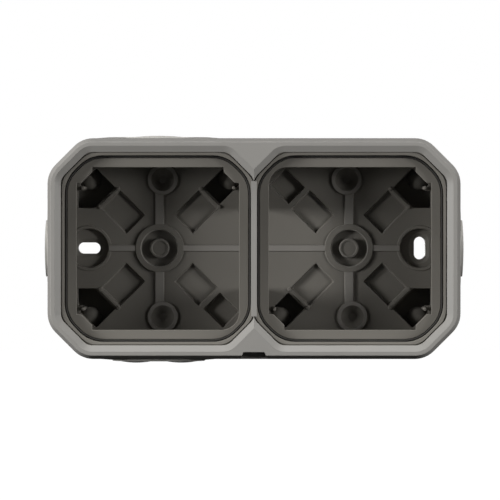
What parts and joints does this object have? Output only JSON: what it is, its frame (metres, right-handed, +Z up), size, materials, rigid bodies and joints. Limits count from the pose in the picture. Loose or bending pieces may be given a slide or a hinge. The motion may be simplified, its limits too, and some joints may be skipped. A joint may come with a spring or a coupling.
{
  "type": "wall switch box",
  "caption": "Empty surface wall box for rocker switches set side by side, with square mouths, fixing slots in the moulded floor and soft push-in cable glands in the walls.",
  "frame": {"origin": "centre of the back face, on the wall that the box is fixed to", "axes": "+X to the right as the user sees the box, -Y out of the wall towards the user, +Z up"},
  "size_m": [0.1558, 0.043, 0.0843],
  "materials": {
    "grey_plastic": "fine moulded grain, satin",
    "soft_plastic": "soft light grey thermoplastic, matt",
    "dark_rubber": "matt dark grey rubber"
  },
  "bodies": {
    "box": {"box_body": "grey_plastic", "left_rim_seal": "dark_rubber", "right_rim_seal": "dark_rubber"},
    "top_gland": {"top_cable_gland": "soft_plastic"},
    "bottom_gland": {"bottom_cable_gland": "soft_plastic"},
    "left_gland": {"left_cable_gland": "soft_plastic"},
    "right_gland": {"right_cable_gland": "soft_plastic"}
  },
  "joints": [
    {"name": "top_gland_pull", "type": "slide", "parent": "box", "child": "top_gland", "axis": [0, 0, 1], "range_m": [0, 0.012]},
    {"name": "bottom_gland_pull", "type": "slide", "parent": "box", "child": "bottom_gland", "axis": [0, 0, -1], "range_m": [0, 0.012]},
    {"name": "left_gland_pull", "type": "slide", "parent": "box", "child": "left_gland", "axis": [-1, 0, 0], "range_m": [0, 0.012]},
    {"name": "right_gland_pull", "type": "slide", "parent": "box", "child": "right_gland", "axis": [1, 0, 0], "range_m": [0, 0.012]}
  ]
}
